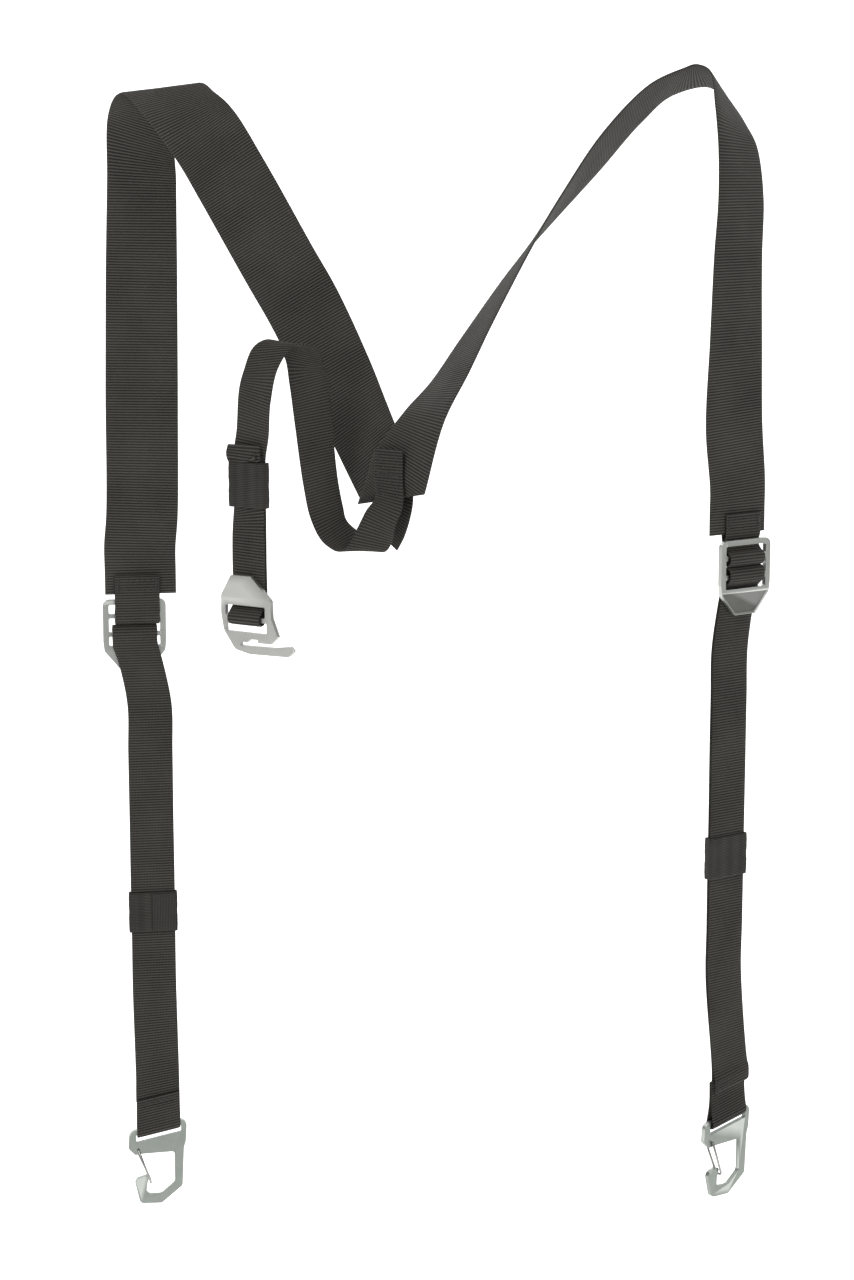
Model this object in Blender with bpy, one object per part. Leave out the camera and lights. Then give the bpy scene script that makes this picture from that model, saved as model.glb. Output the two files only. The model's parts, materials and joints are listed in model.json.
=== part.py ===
"""Trouser braces: two wide shoulder straps sewn together at the back, two adjustable front straps
with wire-gate carabiners, and one narrow back strap with a G-hook.

+Z is up, +X runs to the right when the braces are seen from behind the wearer, and +Y points to the
wearer's front. The origin is where the shoulders carry the straps. Lengths are in millimetres and are
scaled once, in add_mesh.
"""

import math

import bmesh
import bpy
import numpy as np
from mathutils import Matrix, Vector

MM = 0.001

# Webbing
WIDE = 40.0
FRONT = 25.0
BACK = 20.0
THICK = 1.3
PLY = 1.7  # from one layer's middle to the next layer's
THREAD = 0.5

# Hardware
LOCK_WIDTH = 35.4
LOCK_HEIGHT = 41.0
PLATE = 2.6
BAR = 2.4
WRAP = 2.75  # from a bar's axis to the middle of the webbing round it
TAB_BAR = -9.6
STRAP_BAR = -20.0
CARABINER_PLATE = 2.8
GATE_WIRE = 0.6
GATE_LANE = 2.4

# Where the pieces hang
LEFT_LOCK = Vector((-170.6, 48.0, -286.0))
RIGHT_LOCK = Vector((166.3, -4.0, -245.0))
LEFT_TURN = math.radians(190.0)
RIGHT_TURN = math.radians(36.0)
LEFT_DROP = 310.0
RIGHT_DROP = 328.0
HOOK_TOP = Vector((-97.0, -95.0, -251.0))
HOOK_TURN = math.radians(-32.0)
JOIN = Vector((-25.0, -73.0, -206.0))
JOIN_FACING = Vector((-0.65, -0.70, 0.29))

WEBBING = ("webbing", (0.030, 0.029, 0.026, 1.0), 0.85, 0.0)
THREAD_BLACK = ("thread", (0.020, 0.020, 0.019, 1.0), 0.7, 0.0)
SATIN = ("satin_aluminium", (0.52, 0.53, 0.51, 1.0), 0.38, 1.0)
WIRE = ("polished_wire", (0.45, 0.45, 0.43, 1.0), 0.25, 1.0)


def frame_at(origin, across, up):
    """A matrix whose x runs across the webbing, y up it and z out of its outer face."""
    across = across.normalized()
    up = (up - across * up.dot(across)).normalized()
    rotation = Matrix((across, up, across.cross(up))).transposed()
    return Matrix.Translation(origin) @ rotation.to_4x4()


def upright_frame(origin, turn):
    """A frame that hangs plumb, turned about the vertical."""
    return frame_at(origin, Vector((math.cos(turn), math.sin(turn), 0.0)), Vector((0.0, 0.0, 1.0)))


LEFT = upright_frame(LEFT_LOCK, LEFT_TURN)
RIGHT = upright_frame(RIGHT_LOCK, RIGHT_TURN)
HOOK = upright_frame(HOOK_TOP, HOOK_TURN)
YOKE = frame_at(JOIN, Vector((0, 0, 1)).cross(JOIN_FACING), Vector((0, 0, 1)))


def clear_scene():
    for thing in list(bpy.data.objects):
        bpy.data.objects.remove(thing, do_unlink=True)
    collection = bpy.data.collections.new("trouser_braces")
    bpy.context.scene.collection.children.link(collection)
    return collection


def make_material(name, spec):
    _, colour, roughness, metallic = spec
    material = bpy.data.materials.new(name)
    material.use_nodes = True
    shader = material.node_tree.nodes["Principled BSDF"]
    shader.inputs["Base Color"].default_value = colour
    shader.inputs["Roughness"].default_value = roughness
    shader.inputs["Metallic"].default_value = metallic
    material.diffuse_color = colour
    return material


def add_mesh(collection, name, mesh_builder, spec, pivot=None):
    """Link a millimetre bmesh as an object in metres, with its origin at the pivot."""
    pivot = Vector(pivot) if pivot is not None else Vector((0.0, 0.0, 0.0))
    bmesh.ops.translate(mesh_builder, verts=mesh_builder.verts, vec=-pivot)
    bmesh.ops.scale(mesh_builder, verts=mesh_builder.verts, vec=(MM, MM, MM))
    bmesh.ops.recalc_face_normals(mesh_builder, faces=mesh_builder.faces)
    mesh = bpy.data.meshes.new(name)
    mesh_builder.to_mesh(mesh)
    mesh_builder.free()
    thing = bpy.data.objects.new(name, mesh)
    thing.location = pivot * MM
    mesh.materials.append(make_material(name, spec))
    collection.objects.link(thing)
    return thing


def slopes_through(rows):
    """Parameter values for rows of numbers, spaced by their first three, and the slope at each."""
    gaps = np.linalg.norm(np.diff(rows[:, :3], axis=0), axis=1)
    knots = np.concatenate(([0.0], np.cumsum(np.sqrt(gaps))))
    return knots, np.gradient(rows, knots, axis=0)


def smooth_path(rows, per_span):
    """A smooth curve through rows of numbers, with per_span samples between neighbours."""
    knots, slopes = slopes_through(rows)
    samples = []
    for i in range(len(rows) - 1):
        span = knots[i + 1] - knots[i]
        for s in np.arange(per_span) / per_span:
            lean = (s**3 - 2 * s**2 + s) * slopes[i] + (s**3 - s**2) * slopes[i + 1]
            samples.append((2 * s**3 - 3 * s**2 + 1) * rows[i] + (3 * s**2 - 2 * s**3) * rows[i + 1] + span * lean)
    samples.append(rows[-1])
    return np.array(samples)


def ribbon(stations, width, thickness=THICK, per_span=3):
    """Webbing as a flat section swept along stations of (centre, across, stretch).

    The section is set at right angles to the path, unless its stretch is given: then it lies
    aslant, along the across direction, and is that much longer than the webbing is wide.
    """
    rows = np.array([tuple(station) + (0.0,) * (7 - len(station)) for station in stations])
    slopes = slopes_through(rows)[1]
    for row, slope in zip(rows, slopes):
        along = slope[:3] / np.linalg.norm(slope[:3])
        if row[6] == 0.0:
            row[3:6] -= along * np.dot(row[3:6], along)
        row[3:6] *= max(row[6], 1.0 * (row[6] == 0.0)) / np.linalg.norm(row[3:6])
    rows = smooth_path(rows[:, :6], per_span)
    centres = rows[:, :3]
    across = rows[:, 3:]
    out = np.cross(np.gradient(centres, axis=0), across)
    out /= np.linalg.norm(out, axis=1)[:, None]
    builder = bmesh.new()
    rings = []
    for centre, side, face in zip(centres, across * width / 2, out * thickness / 2):
        corners = (centre - side - face, centre + side - face, centre + side + face, centre - side + face)
        rings.append([builder.verts.new(corner) for corner in corners])
    for first, second in zip(rings, rings[1:]):
        for i in range(4):
            j = (i + 1) % 4
            builder.faces.new((first[i], first[j], second[j], second[i]))
    builder.faces.new(rings[0])
    builder.faces.new(reversed(rings[-1]))
    return builder


def trimmed(builder, point, away):
    """Cut the near end of a solid with a plane, and close it, dropping what lies away from the plane."""
    near = {vert for vert in builder.verts if (vert.co - point).length < 2 * WIDE}
    geometry = list(near)
    geometry += [edge for edge in builder.edges if set(edge.verts) <= near]
    geometry += [face for face in builder.faces if set(face.verts) <= near]
    cut = bmesh.ops.bisect_plane(builder, geom=geometry, plane_co=point, plane_no=away, clear_outer=True)
    rim = [item for item in cut["geom_cut"] if isinstance(item, bmesh.types.BMEdge)]
    bmesh.ops.edgeloop_fill(builder, edges=rim)
    return builder


def local_ribbon(frame, profile, width):
    """Webbing from local rows of (across, up, out, slant); the slant lifts its right edge."""
    stations = []
    turn = frame.to_3x3()
    for across, up, out, slant in profile:
        side = turn @ Vector((1.0, slant, 0.0))
        stations.append(tuple(frame @ Vector((across, up, out))) + tuple(side) + (side.length,))
    return ribbon(stations, width)


def slab(frame, low, high):
    """A box between two local corners."""
    builder = bmesh.new()
    bmesh.ops.create_cube(builder, size=1.0)
    size = [b - a for a, b in zip(low, high)]
    middle = [(a + b) / 2 for a, b in zip(low, high)]
    bmesh.ops.scale(builder, verts=builder.verts, vec=size)
    bmesh.ops.translate(builder, verts=builder.verts, vec=middle)
    bmesh.ops.transform(builder, verts=builder.verts, matrix=frame)
    return builder


def rounded(corners, steps=3):
    """An outline with each (across, up, radius) corner turned into an arc."""
    points = []
    for i, (x, y, radius) in enumerate(corners):
        here = Vector((x, y))
        before = (Vector(corners[i - 1][:2]) - here).normalized()
        after = (Vector(corners[(i + 1) % len(corners)][:2]) - here).normalized()
        half = before.angle(after) / 2
        if radius <= 0 or half > math.radians(88):
            points.append(tuple(here))
            continue
        centre = here + (before + after).normalized() * radius / math.sin(half)
        start = here + before * radius / math.tan(half) - centre
        end = here + after * radius / math.tan(half) - centre
        for step in range(steps + 1):
            spoke = start.lerp(end, step / steps).normalized() * radius
            points.append(tuple(centre + spoke))
    return points


def plate(frame, outlines, thickness):
    """A flat plate from an outer outline and its holes, centred on the frame's plane."""
    curve = bpy.data.curves.new("outline", "CURVE")
    curve.dimensions = "2D"
    curve.fill_mode = "BOTH"
    curve.extrude = thickness / 2
    for corners in outlines:
        points = rounded(corners)
        spline = curve.splines.new("POLY")
        spline.points.add(len(points) - 1)
        for target, (x, y) in zip(spline.points, points):
            target.co = (x, y, 0.0, 1.0)
        spline.use_cyclic_u = True
    guide = bpy.data.objects.new("outline", curve)
    bpy.context.scene.collection.objects.link(guide)
    depsgraph = bpy.context.evaluated_depsgraph_get()
    mesh = bpy.data.meshes.new_from_object(guide.evaluated_get(depsgraph))
    builder = bmesh.new()
    builder.from_mesh(mesh)
    bmesh.ops.remove_doubles(builder, verts=builder.verts, dist=0.0001)
    bmesh.ops.transform(builder, verts=builder.verts, matrix=frame)
    bpy.data.objects.remove(guide, do_unlink=True)
    return builder


def rectangle(left, right, low, high, radius):
    return [(left, low, radius), (right, low, radius), (right, high, radius), (left, high, radius)]


# ---------------------------------------------------------------- shoulder straps and yoke

YOKE_RIGHT_UP = 2.3
YOKE_BACK_UP = 6.0
YOKE_HEM = -9.0
HEM_SLOPE = 0.19

LEFT_SHOULDER = [
    ((-165, 46, -238), (0.97, 0.18, 0.0)),
    ((-164, 46, -174), (0.98, 0.1, 0.0)),
    ((-163, 46, -108), (0.98, -0.1, 0.0)),
    ((-162, 46, -54), (0.97, -0.24, 0.0)),
    ((-161, 43, -26), (0.97, -0.24, 0.0)),
    ((-149.5, 27, -5.5), (0.96, -0.27, 0.09), 1.12),
    ((-138, 11, -13), (0.93, -0.15, 0.25), 1.04),
    ((-123, -2, -30), (0.89, 0.0, 0.42)),
    ((-108, -12, -54), (0.88, -0.02, 0.48)),
    ((-83, -27, -97), (0.88, -0.05, 0.48)),
    ((-70, -34, -119), (0.87, -0.1, 0.48)),
    ((-52, -44, -155), (0.84, -0.26, 0.47)),
]

RIGHT_SHOULDER = [
    ((-7.5, -83.5, -171.5), (0.47, -0.87, -0.12)),
    ((6, -71, -152), (0.4, -0.9, 0.08)),
    ((20, -58, -129), (0.25, -0.96, 0.05)),
    ((44, -36, -92), (0.03, -1.0, 0.04)),
    ((62, -22, -68), (-0.12, -0.98, 0.1)),
    ((86, -8, -38.5), (-0.3, -0.94, 0.12)),
    ((110, 5, -13.5), (-0.3, -0.93, 0.15)),
    ((128, 13, -2), (-0.26, -0.94, 0.18)),
    ((141, 13, 1), (-0.3, -0.9, 0.28)),
    ((150, 6, -6), (-0.4, -0.8, 0.45)),
    ((154.5, -4, -20), (-0.52, -0.75, 0.35)),
    ((158, -9, -36), (-0.62, -0.76, 0.2)),
    ((160, -10, -62), (-0.68, -0.74, 0.0)),
    ((159, -10, -93), (-0.72, -0.7, 0.0)),
    ((159, -8, -137), (-0.77, -0.64, 0.0)),
    ((159, -7, -182), (-0.82, -0.57, 0.0)),
]


def hem_stations(frame, across, lowest, sign):
    """The last stations of a wide strap, hanging between the tab's two layers."""
    side = tuple(sign * frame.to_3x3().col[0])
    rows = []
    for up in (30.0, 16.0, lowest):
        rows.append(tuple(frame @ Vector((across, up, HEM_OUT))) + side)
    return rows


HEM_OUT = -3.3
HEM_LOW = 3.2


def build_shoulder_straps(collection):
    sewn = YOKE.to_3x3()
    left = [tuple(row) for row in reversed(hem_stations(LEFT, -3.6, HEM_LOW, -1))]
    left += [sum(station[:2], ()) + station[2:] for station in LEFT_SHOULDER]
    hem = (YOKE @ Vector((0.0, YOKE_HEM, 0.0)), sewn.col[0] * HEM_SLOPE - sewn.col[1])
    for x, z, out, dip in ((-27.3, 30.0, -4.9, 0.2), (-15.4, 15.0, -2.8, 0.12), (9.5, -19.0, 0.0, 0.0)):
        left.append(tuple(YOKE @ Vector((x, z, out))) + tuple(sewn @ Vector((0.83, 0.55, -dip))))
    add_mesh(collection, "shoulder_strap_left", trimmed(ribbon(left, WIDE), *hem), WEBBING)

    right_across = sewn @ Vector((0.9, -0.43, 0.0))
    right = []
    for x, z, lift in ((-5.6, -27.0, 0.0), (4.4, -6.0, 0.0), (10.4, 6.0, 1.6)):
        right.append(tuple(YOKE @ Vector((x, z, YOKE_RIGHT_UP + lift))) + tuple(right_across))
    right += [sum(station[:2], ()) + station[2:] for station in RIGHT_SHOULDER]
    right += hem_stations(RIGHT, -3.0, HEM_LOW, -1)
    add_mesh(collection, "shoulder_strap_right", trimmed(ribbon(right, WIDE), *hem), WEBBING)


# ---------------------------------------------------------------- back strap and its hook

BACK_STRAP = [
    ((-29.5, -82, -223.5), (0.8, -0.55, -0.22)),
    ((-33.3, -82, -233.5), (0.93, -0.3, -0.2), 1.03),
    ((-37, -80, -239.5), (0.96, -0.22, -0.1), 1.03),
    ((-40.5, -76, -240.5), (0.97, 0.1, 0.05), 1.03),
    ((-47, -72.5, -237), (0.75, 0.55, 0.3), 1.0),
    ((-54, -70.5, -231), (0.68, 0.62, 0.37), 1.0),
    ((-57.5, -70, -222), (0.84, 0.5, 0.18)),
    ((-60.5, -72, -206), (0.87, 0.48, 0.0)),
    ((-64, -79, -172), (0.93, 0.35, 0.0)),
    ((-66, -84, -152), (0.93, 0.3, -0.1)),
    ((-68, -88, -143), (0.93, 0.2, -0.2), 1.0),
    ((-72.5, -93, -134.5), (0.95, 0.05, -0.2), 1.25),
    ((-82, -99, -134.5), (0.93, -0.15, 0.05), 1.1),
    ((-89, -98, -146), (0.88, -0.4, 0.1), 1.0),
    ((-92.5, -95, -160), (0.84, -0.52, 0.0)),
    ((-94, -92, -179), (0.84, -0.53, 0.0)),
]

HOOK_BAR = -22.5
MAIN_OUT = -4.3
TAIL_OUT = -2.6
TAIL_END = 66.0
HOOK_DRIFT = -1.2


def build_back_strap(collection):
    sewn = YOKE.to_3x3()
    turn = HOOK.to_3x3()
    rows = []
    for x, z in ((5.0, 18.0), (5.1, 4.0), (5.2, -9.0)):
        rows.append(tuple(YOKE @ Vector((x, z, YOKE_BACK_UP))) + tuple(sewn.col[0]))
    rows += [sum(station[:2], ()) + station[2:] for station in BACK_STRAP]
    lane = [(60, MAIN_OUT), (30, MAIN_OUT), (8, MAIN_OUT), (-18, MAIN_OUT)]
    lane += around_bar(HOOK_BAR, (200, 240, 270, 315, 360, 400))
    lane += [(-18.4, 0.0), (-16.0, -2.3), (-12.0, TAIL_OUT), (20, TAIL_OUT), (56, TAIL_OUT)]
    for up, out in lane:
        rows.append(tuple(HOOK @ Vector((HOOK_DRIFT, up, out))) + tuple(turn.col[0]))
    rows.append(tuple(HOOK @ Vector((HOOK_DRIFT - 1.6, TAIL_END, TAIL_OUT))) + tuple(turn.col[0]))
    add_mesh(collection, "back_strap", ribbon(rows, BACK), WEBBING)
    under = []
    for x, z, out in ((4.0, -1.0, -3.2), (4.0, -10.0, -2.4), (-2.0, -22.0, -4.0), (-8.0, -30.0, -5.0)):
        under.append(tuple(YOKE @ Vector((x, z, out))) + tuple(sewn.col[0]))
    add_mesh(collection, "join_under_tail", ribbon(under, BACK), WEBBING)


def around_bar(bar, angles):
    """Points (up, out) of webbing round a bar, by angle: 0 is in front, 90 is above."""
    points = []
    for angle in angles:
        turn = math.radians(angle)
        points.append((bar + WRAP * math.sin(turn), WRAP * math.cos(turn)))
    return points


HOOK_OUTLINE = [
    (-10.4, -0.5, 1.0), (2.0, -0.5, 1.0), (14.6, -12.0, 2.0), (15.0, -21.0, 0.0), (19.0, -30.4, 0.8),
    (14.6, -34.2, 0.3), (7.0, -34.2, 0.3), (6.4, -32.6, 0.4), (1.2, -32.8, 0.4), (0.2, -34.4, 0.3),
    (-4.2, -34.4, 0.5), (-4.2, -36.4, 0.5), (17.0, -35.9, 0.5), (26.5, -34.4, 1.2), (29.2, -36.8, 1.2),
    (25.5, -39.8, 1.5), (1.5, -40.4, 3.0), (-7.5, -38.6, 3.0), (-14.6, -29.0, 6.0), (-16.2, -20.0, 4.0),
    (-16.2, -11.0, 2.0),
]


def build_hook(collection):
    top = HOOK_BAR + BAR / 2
    low = HOOK_BAR - BAR / 2
    outlines = [
        HOOK_OUTLINE,
        rectangle(-13.4, 11.2, top, -15.6, 0.8),
        rectangle(-13.4, 12.2, -29.4, low, 0.8),
    ]
    pivot = HOOK @ Vector((0.0, HOOK_BAR, 0.0))
    add_mesh(collection, "g_hook", plate(HOOK, outlines, PLATE), SATIN, pivot)


# ---------------------------------------------------------------- ladder locks and front straps


def lock_outlines():
    half = LOCK_WIDTH / 2
    window = 14.4
    outer = [
        (-half, 0.0, 3.5), (half, 0.0, 3.5), (half, -24.0, 8.0), (half - 0.6, -29.5, 1.5), (7.5, -LOCK_HEIGHT, 2.0),
        (-7.5, -LOCK_HEIGHT, 2.0), (-half + 0.6, -29.5, 1.5), (-half, -24.0, 8.0),
    ]
    windows = [
        rectangle(-window, window, TAB_BAR + BAR / 2, -3.0, 1.0),
        rectangle(-window, window, STRAP_BAR + BAR / 2, TAB_BAR - BAR / 2, 0.6),
        rectangle(-window, window, -26.6, STRAP_BAR - BAR / 2, 0.8),
    ]
    return [outer] + windows


def tab_profile(shift):
    lane = [(14.0, HEM_OUT + 1.8), (4.6, HEM_OUT + 1.8), (1.6, -1.8), (-0.5, -2.6), (-3.6, -2.6), (-5.6, -1.2)]
    lane += around_bar(TAB_BAR, (85, 40, 0, -45, -90, -135))
    lane += [(TAB_BAR - 0.6, -3.4), (-7.0, -4.3), (-2.0, -4.3), (1.2, -4.9), (4.6, HEM_OUT - 1.8)]
    lane += [(14.0, HEM_OUT - 1.8)]
    return [(shift, up, out, 0.0) for up, out in lane]


def front_strap_profile(drift, kick, drop, loop_end, tail_end, slant):
    """The whole front strap: sewn loop, main run, turn over the lock's bar, and the tail."""
    bar_out = MAIN_OUT - PLY / 2
    low = -drop
    bend = low + 85.0
    foot = drift + kick
    lane = [(foot, low + loop_end, MAIN_OUT - PLY, slant), (foot, low + 12.0, MAIN_OUT - PLY, slant)]
    for angle in (150, 180, 215, 250, 290, 325, 360, 390):
        turn = math.radians(angle)
        radius = WRAP + 0.2
        lane.append((foot, low + radius * math.sin(turn), bar_out + radius * math.cos(turn), slant))
    lane += [(foot, low + 12.0, MAIN_OUT, slant), (foot, low + 30.0, MAIN_OUT, slant * 0.7)]
    lane += [(drift, up, MAIN_OUT, 0.0) for up in (bend, bend + 28.0, low / 2, -88.0, -60.0)]
    lane += [(drift * 0.4, -36.0, MAIN_OUT, 0.0), (0.0, -24.0, MAIN_OUT, 0.0)]
    lane += [(0.0, STRAP_BAR + 0.8, -3.6, 0.0), (0.0, STRAP_BAR + 2.5, -1.9, 0.0)]
    lane += [(0.0, up, out, 0.0) for up, out in around_bar(STRAP_BAR, (90, 45, 0, -45))]
    lane += [(0.0, -23.7, 0.1, 0.0), (0.0, -26.4, -2.5, 0.0), (drift * 0.4, -36.0, TAIL_OUT, 0.0)]
    lane += [(drift, up, TAIL_OUT, 0.0) for up in (-60.0, -88.0, low / 2, bend + 28.0, bend)]
    lane += [(foot, low + 30.0, TAIL_OUT, slant * 0.7), (foot, low + tail_end, TAIL_OUT, slant)]
    return lane


CARABINER_OUTLINE = [
    (-17.0, -1.9, 4.0), (14.5, 4.4, 3.0), (16.2, 1.0, 3.0), (15.6, -9.0, 4.0), (14.4, -13.0, 4.0), (13.3, -36.0, 2.0),
    (1.0, -46.0, 2.0), (-11.4, -45.6, 2.5), (-14.2, -33.0, 1.2), (-12.8, -30.5, 1.0), (-7.2, -28.8, 0.8),
    (-6.2, -30.2, 0.8), (-7.4, -34.5, 1.0), (-7.8, -40.2, 2.5), (1.0, -40.8, 4.0), (9.0, -34.0, 3.0),
    (9.0, -15.0, 1.5), (-10.0, -15.4, 1.0), (-14.0, -16.0, 1.5), (-17.7, -12.0, 2.0),
]
SLOT_SLOPE = 0.2
GATE_AXIS = (-13.1, -11.6)


def slot_outline():
    rise = SLOT_SLOPE * 13.2
    low = -6.1
    return [
        (-13.2, low - rise, 0.6), (13.0, low + rise, 0.6), (13.0, rise - 1.4, 0.6), (-13.2, -rise - 1.4, 0.6),
    ]


def build_gate(collection, name, frame):
    """A bent wire whose two legs straddle the nose, on the offset holes of the hinge."""
    path = [
        (-12.1, -12.6, GATE_LANE), (-5.6, -31.5, GATE_LANE), (-5.2, -32.8, GATE_LANE * 0.8), (-5.1, -33.4, 0.9),
        (-5.1, -33.4, -0.9), (-5.2, -32.8, -GATE_LANE * 0.8), (-5.6, -31.5, -GATE_LANE), (-14.2, -10.6, -GATE_LANE),
    ]
    curve = bpy.data.curves.new(name, "CURVE")
    curve.dimensions = "3D"
    curve.bevel_depth = GATE_WIRE
    curve.bevel_resolution = 2
    curve.use_fill_caps = True
    spline = curve.splines.new("POLY")
    spline.points.add(len(path) - 1)
    for target, point in zip(spline.points, path):
        target.co = (*point, 1.0)
    guide = bpy.data.objects.new(name, curve)
    bpy.context.scene.collection.objects.link(guide)
    depsgraph = bpy.context.evaluated_depsgraph_get()
    mesh = bpy.data.meshes.new_from_object(guide.evaluated_get(depsgraph))
    bpy.data.objects.remove(guide, do_unlink=True)
    builder = bmesh.new()
    builder.from_mesh(mesh)
    bmesh.ops.remove_doubles(builder, verts=builder.verts, dist=0.0001)
    bmesh.ops.transform(builder, verts=builder.verts, matrix=frame)
    pivot = frame @ Vector((*GATE_AXIS, 0.0))
    add_mesh(collection, name, builder, WIRE, pivot)


def sleeve(frame, centre, width, depth, height, wall=1.1):
    """A flat webbing sleeve, open at both ends."""
    builder = bmesh.new()
    x, y, z = centre
    rings = []
    for grow in (0.0, wall):
        for end in (-height / 2, height / 2):
            half_width = width / 2 + grow
            half_depth = depth / 2 + grow
            corners = [(-1, -1), (1, -1), (1, 1), (-1, 1)]
            ring = [builder.verts.new((x + a * half_width, y + end, z + b * half_depth)) for a, b in corners]
            rings.append(ring)
    inner_low, inner_high, outer_low, outer_high = rings
    for i in range(4):
        j = (i + 1) % 4
        for first, second in ((inner_low, inner_high), (outer_low, outer_high), (inner_low, outer_low),
                              (inner_high, outer_high)):
            builder.faces.new((first[i], first[j], second[j], second[i]))
    bmesh.ops.transform(builder, verts=builder.verts, matrix=frame)
    return builder


KEEPER_HEIGHT = 23.0
LAYERS_OUT = (MAIN_OUT + TAIL_OUT) / 2
LAYERS_DEPTH = 3.8


def build_front(collection, side, frame, drift, kick, drop, keeper_up, loop_end, tail_end, tab_shift, faces_viewer):
    sign = 1.0 if faces_viewer else -1.0
    slant = SLOT_SLOPE * sign
    add_mesh(collection, "tab_loop_" + side, local_ribbon(frame, tab_profile(tab_shift), FRONT), WEBBING)
    pivot = frame @ Vector((0.0, TAB_BAR, 0.0))
    add_mesh(collection, "ladder_lock_" + side, plate(frame, lock_outlines(), PLATE), SATIN, pivot)
    profile = front_strap_profile(drift, kick, drop, loop_end, tail_end, slant)
    pivot = frame @ Vector((0.0, STRAP_BAR, 0.0))
    add_mesh(collection, "front_strap_" + side, local_ribbon(frame, profile, FRONT), WEBBING, pivot)
    ring = sleeve(frame, (drift, keeper_up, LAYERS_OUT), FRONT + 0.8, LAYERS_DEPTH, KEEPER_HEIGHT)
    add_mesh(collection, "keeper_" + side, ring, WEBBING)

    bar = frame @ Vector((drift + kick, -drop, MAIN_OUT - PLY / 2))
    across = frame.to_3x3().col[0] * sign
    hanging = frame_at(bar, across, Vector((0.0, 0.0, 1.0)))
    body = plate(hanging, [CARABINER_OUTLINE, slot_outline()], CARABINER_PLATE)
    add_mesh(collection, "carabiner_" + side, body, SATIN, bar)
    build_gate(collection, "wire_gate_" + side, hanging)

    stitch_out = HEM_OUT + 1.8 + THICK / 2 + 0.3
    stitches = slab(frame, (-10.5, 5.0, stitch_out), (10.5, 12.5, stitch_out + THREAD))
    add_mesh(collection, "tab_stitching_" + side, stitches, THREAD_BLACK)
    inner = MAIN_OUT - PLY - THICK / 2 - 0.3
    middle = drift + kick
    low = -drop + 14.0
    stitches = slab(frame, (middle - 9.0, low, inner - THREAD), (middle + 9.0, low + 3.0, inner))
    add_mesh(collection, "loop_stitching_" + side, stitches, THREAD_BLACK)


def build_back_keeper(collection):
    ring = sleeve(HOOK, (HOOK_DRIFT, 46.0, LAYERS_OUT), BACK + 0.8, LAYERS_DEPTH, KEEPER_HEIGHT)
    add_mesh(collection, "keeper_back", ring, WEBBING)


def build_yoke_stitching(collection):
    top = YOKE_BACK_UP + THICK / 2 + 0.3
    box = slab(YOKE, (-2.0, -5.5, top), (12.0, 15.5, top + THREAD))
    add_mesh(collection, "patch_stitching", box, THREAD_BLACK)
    low = YOKE_RIGHT_UP + THICK / 2 + 1.6
    row = slab(YOKE, (16.5, -4.6, low), (22.0, -1.6, low + THREAD))
    add_mesh(collection, "join_bartack", row, THREAD_BLACK)


def main():
    collection = clear_scene()
    build_shoulder_straps(collection)
    build_back_strap(collection)
    build_hook(collection)
    build_back_keeper(collection)
    build_yoke_stitching(collection)
    build_front(collection, "left", LEFT, -7.4, -0.8, LEFT_DROP, -181.0, 19.0, 17.0, -1.6, False)
    build_front(collection, "right", RIGHT, -6.5, 6.0, RIGHT_DROP, -176.0, 24.0, 18.0, 0.0, True)


main()
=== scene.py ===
"""The looks of the trouser braces: ribbed webbing, stitching, satin hardware, and the studio.

Lengths are in millimetres, and meshes are scaled once, in link_mesh. The studio, the sheets' flat sizes
and the materials' noise and bump are in metres.
"""

import json
import math
from collections import namedtuple

import bmesh
import bpy
import numpy as np
from mathutils import Matrix, Vector

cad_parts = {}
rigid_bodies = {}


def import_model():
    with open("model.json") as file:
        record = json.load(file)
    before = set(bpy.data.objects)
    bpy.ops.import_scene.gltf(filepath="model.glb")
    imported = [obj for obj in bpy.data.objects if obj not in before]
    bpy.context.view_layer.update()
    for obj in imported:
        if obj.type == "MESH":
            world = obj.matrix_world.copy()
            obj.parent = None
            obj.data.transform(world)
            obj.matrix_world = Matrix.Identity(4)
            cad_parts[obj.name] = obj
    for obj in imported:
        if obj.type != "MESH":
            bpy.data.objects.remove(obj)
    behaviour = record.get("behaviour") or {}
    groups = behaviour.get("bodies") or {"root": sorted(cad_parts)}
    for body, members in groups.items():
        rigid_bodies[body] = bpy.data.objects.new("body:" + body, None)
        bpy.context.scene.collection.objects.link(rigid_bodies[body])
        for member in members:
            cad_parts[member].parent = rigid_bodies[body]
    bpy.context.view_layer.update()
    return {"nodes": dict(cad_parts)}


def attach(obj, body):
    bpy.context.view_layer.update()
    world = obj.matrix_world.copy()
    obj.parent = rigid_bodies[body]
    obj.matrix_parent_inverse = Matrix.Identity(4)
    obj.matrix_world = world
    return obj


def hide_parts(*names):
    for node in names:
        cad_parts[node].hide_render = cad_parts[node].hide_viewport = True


for thing in list(bpy.data.objects):
    bpy.data.objects.remove(thing, do_unlink=True)
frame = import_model()

MM = 0.001
UP = Vector((0.0, 0.0, 1.0))

# ---------------------------------------------------------------- the part's driving dimensions

# The webbing's three widths and its thickness, and the step from one stacked layer to the next.
WIDE, FRONT, BACK = 40.0, 25.0, 20.0
THICK, PLY = 1.3, 1.7
# Heights of two bars in their own frames, and the radius at which webbing goes round a bar.
TAB_BAR, HOOK_BAR = -9.6, -22.5
WRAP = 2.75
# A shoulder strap's end at its lock: how far out it lies, how low it reaches, and the tab's stand-off from it.
HEM_OUT, HEM_LOW, TAB_STAND = -3.3, 3.2, 1.8
# Where an adjustable strap's main layer and its loose tail lie, out of the plate's plane.
MAIN_OUT, TAIL_OUT = -4.3, -2.6
# The back strap above the hook: where its tail ends, how far it sits aside, and the tail end's skew.
TAIL_END, HOOK_DRIFT, TAIL_SKEW = 66.0, -1.2, 1.6
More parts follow.
